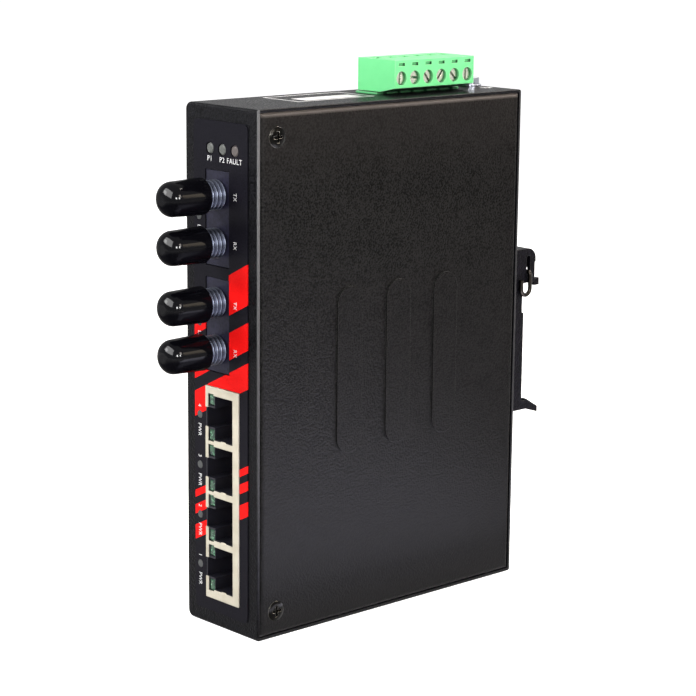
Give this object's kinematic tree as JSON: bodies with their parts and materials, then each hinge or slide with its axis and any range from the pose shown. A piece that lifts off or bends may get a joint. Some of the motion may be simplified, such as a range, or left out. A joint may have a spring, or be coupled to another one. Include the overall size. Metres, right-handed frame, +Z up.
{
  "type": "rail-mounted network switch",
  "caption": "Slim folded-steel industrial network switch with copper and capped fibre ports on the front, a pull-out terminal plug on top and a spring clip for a mounting rail on the back.",
  "frame": {"origin": "centre of the case's bottom face", "axes": "+Z up, -Y out of the connector side, +X towards the screwed cover"},
  "size_m": [0.0305, 0.1281, 0.1516],
  "materials": {
    "case_paint": "fine-textured black powder coat",
    "black_screw": "blackened steel",
    "label_film": "printed satin film",
    "board_green": "solder resist on glass-filled board",
    "standoff_brass": "plain",
    "bright_steel": "zinc plated",
    "chip_black": "moulded package",
    "choke_grey": "pressed ferrite",
    "can_aluminium": "sleeved can",
    "relay_shell": "moulded shell",
    "shield_tin": "tin plate",
    "insert_black": "moulded insert",
    "contact_gold": "gold flash",
    "lens_green": "tinted clear moulding",
    "module_grey": "metallised moulding",
    "barrel_metal": "nickel plated",
    "cap_rubber": "glossy soft rubber",
    "lamp_clear": "diffused clear moulding",
    "terminal_green": "moulded polyamide",
    "clamp_steel": "zinc plated",
    "spring_steel": "oiled spring wire"
  },
  "bodies": {
    "case": {"housing_tray": "case_paint", "side_cover": "case_paint", "cover_screws": "black_screw", "front_label": "label_film", "main_board": "board_green", "board_standoffs": "standoff_brass", "board_screws": "bright_steel", "switch_chip": "chip_black", "power_controller": "chip_black", "power_inductors": "choke_grey", "bulk_capacitors": "can_aluminium", "fault_relay": "relay_shell", "clock_crystal": "bright_steel", "jack_shield": "shield_tin", "jack_insert": "insert_black", "jack_contacts": "contact_gold", "jack_lenses": "lens_green", "fibre_module_upper": "module_grey", "fibre_module_lower": "module_grey", "lamp_holder": "insert_black", "status_lamps": "lamp_clear", "port_lamps": "lamp_clear", "power_header": "terminal_green", "header_pins": "bright_steel", "ground_screw": "bright_steel", "ground_washer": "bright_steel", "rail_clip": "case_paint", "clip_screws": "black_screw", "fibre_barrel_1": "barrel_metal", "fibre_barrel_2": "barrel_metal", "fibre_barrel_3": "barrel_metal", "fibre_barrel_4": "barrel_metal"},
    "plug": {"terminal_plug": "terminal_green", "plug_contacts": "contact_gold"},
    "spring": {"rail_spring": "spring_steel"},
    "cap_1": {"dust_cap_1": "cap_rubber"},
    "cap_2": {"dust_cap_2": "cap_rubber"},
    "cap_3": {"dust_cap_3": "cap_rubber"},
    "cap_4": {"dust_cap_4": "cap_rubber"},
    "screw_1": {"clamp_screw_1": "clamp_steel"},
    "cage_1": {"clamp_cage_1": "clamp_steel"},
    "screw_2": {"clamp_screw_2": "clamp_steel"},
    "cage_2": {"clamp_cage_2": "clamp_steel"},
    "screw_3": {"clamp_screw_3": "clamp_steel"},
    "cage_3": {"clamp_cage_3": "clamp_steel"},
    "screw_4": {"clamp_screw_4": "clamp_steel"},
    "cage_4": {"clamp_cage_4": "clamp_steel"},
    "screw_5": {"clamp_screw_5": "clamp_steel"},
    "cage_5": {"clamp_cage_5": "clamp_steel"},
    "screw_6": {"clamp_screw_6": "clamp_steel"},
    "cage_6": {"clamp_cage_6": "clamp_steel"}
  },
  "joints": [
    {"name": "cap_1_pull", "type": "slide", "parent": "case", "child": "cap_1", "axis": [0, -1, 0], "range_m": [0, 0.014]},
    {"name": "cap_2_pull", "type": "slide", "parent": "case", "child": "cap_2", "axis": [0, -1, 0], "range_m": [0, 0.014]},
    {"name": "cap_3_pull", "type": "slide", "parent": "case", "child": "cap_3", "axis": [0, -1, 0], "range_m": [0, 0.014]},
    {"name": "cap_4_pull", "type": "slide", "parent": "case", "child": "cap_4", "axis": [0, -1, 0], "range_m": [0, 0.014]},
    {"name": "plug_pull", "type": "slide", "parent": "case", "child": "plug", "axis": [0, 0, 1], "range_m": [0, 0.012]},
    {"name": "clamp_screw_1_turn", "type": "hinge", "parent": "plug", "child": "screw_1", "pos_m": [0, 0.00799, 0.1467], "axis": [-1, 0, 0], "range_deg": [0, 1080]},
    {"name": "clamp_cage_1_rise", "type": "slide", "parent": "plug", "child": "cage_1", "axis": [1, 0, 0], "range_m": [0, 0.0015]},
    {"name": "clamp_screw_2_turn", "type": "hinge", "parent": "plug", "child": "screw_2", "pos_m": [0, 0.01307, 0.1467], "axis": [-1, 0, 0], "range_deg": [0, 1080]},
    {"name": "clamp_cage_2_rise", "type": "slide", "parent": "plug", "child": "cage_2", "axis": [1, 0, 0], "range_m": [0, 0.0015]},
    {"name": "clamp_screw_3_turn", "type": "hinge", "parent": "plug", "child": "screw_3", "pos_m": [0, 0.01815, 0.1467], "axis": [-1, 0, 0], "range_deg": [0, 1080]},
    {"name": "clamp_cage_3_rise", "type": "slide", "parent": "plug", "child": "cage_3", "axis": [1, 0, 0], "range_m": [0, 0.0015]},
    {"name": "clamp_screw_4_turn", "type": "hinge", "parent": "plug", "child": "screw_4", "pos_m": [0, 0.02323, 0.1467], "axis": [-1, 0, 0], "range_deg": [0, 1080]},
    {"name": "clamp_cage_4_rise", "type": "slide", "parent": "plug", "child": "cage_4", "axis": [1, 0, 0], "range_m": [0, 0.0015]},
    {"name": "clamp_screw_5_turn", "type": "hinge", "parent": "plug", "child": "screw_5", "pos_m": [0, 0.02831, 0.1467], "axis": [-1, 0, 0], "range_deg": [0, 1080]},
    {"name": "clamp_cage_5_rise", "type": "slide", "parent": "plug", "child": "cage_5", "axis": [1, 0, 0], "range_m": [0, 0.0015]},
    {"name": "clamp_screw_6_turn", "type": "hinge", "parent": "plug", "child": "screw_6", "pos_m": [0, 0.03339, 0.1467], "axis": [-1, 0, 0], "range_deg": [0, 1080]},
    {"name": "clamp_cage_6_rise", "type": "slide", "parent": "plug", "child": "cage_6", "axis": [1, 0, 0], "range_m": [0, 0.0015]},
    {"name": "rail_spring_lift", "type": "slide", "parent": "case", "child": "spring", "axis": [0, 0, 1], "range_m": [0, 0.004], "stiffness_N_per_m": 4000, "springref_m": -0.001}
  ],
  "couplings": [
    {"joint": "clamp_screw_1_turn", "follows": "clamp_cage_1_rise", "rad_per_m": 12566},
    {"joint": "clamp_screw_2_turn", "follows": "clamp_cage_2_rise", "rad_per_m": 12566},
    {"joint": "clamp_screw_3_turn", "follows": "clamp_cage_3_rise", "rad_per_m": 12566},
    {"joint": "clamp_screw_4_turn", "follows": "clamp_cage_4_rise", "rad_per_m": 12566},
    {"joint": "clamp_screw_5_turn", "follows": "clamp_cage_5_rise", "rad_per_m": 12566},
    {"joint": "clamp_screw_6_turn", "follows": "clamp_cage_6_rise", "rad_per_m": 12566}
  ]
}
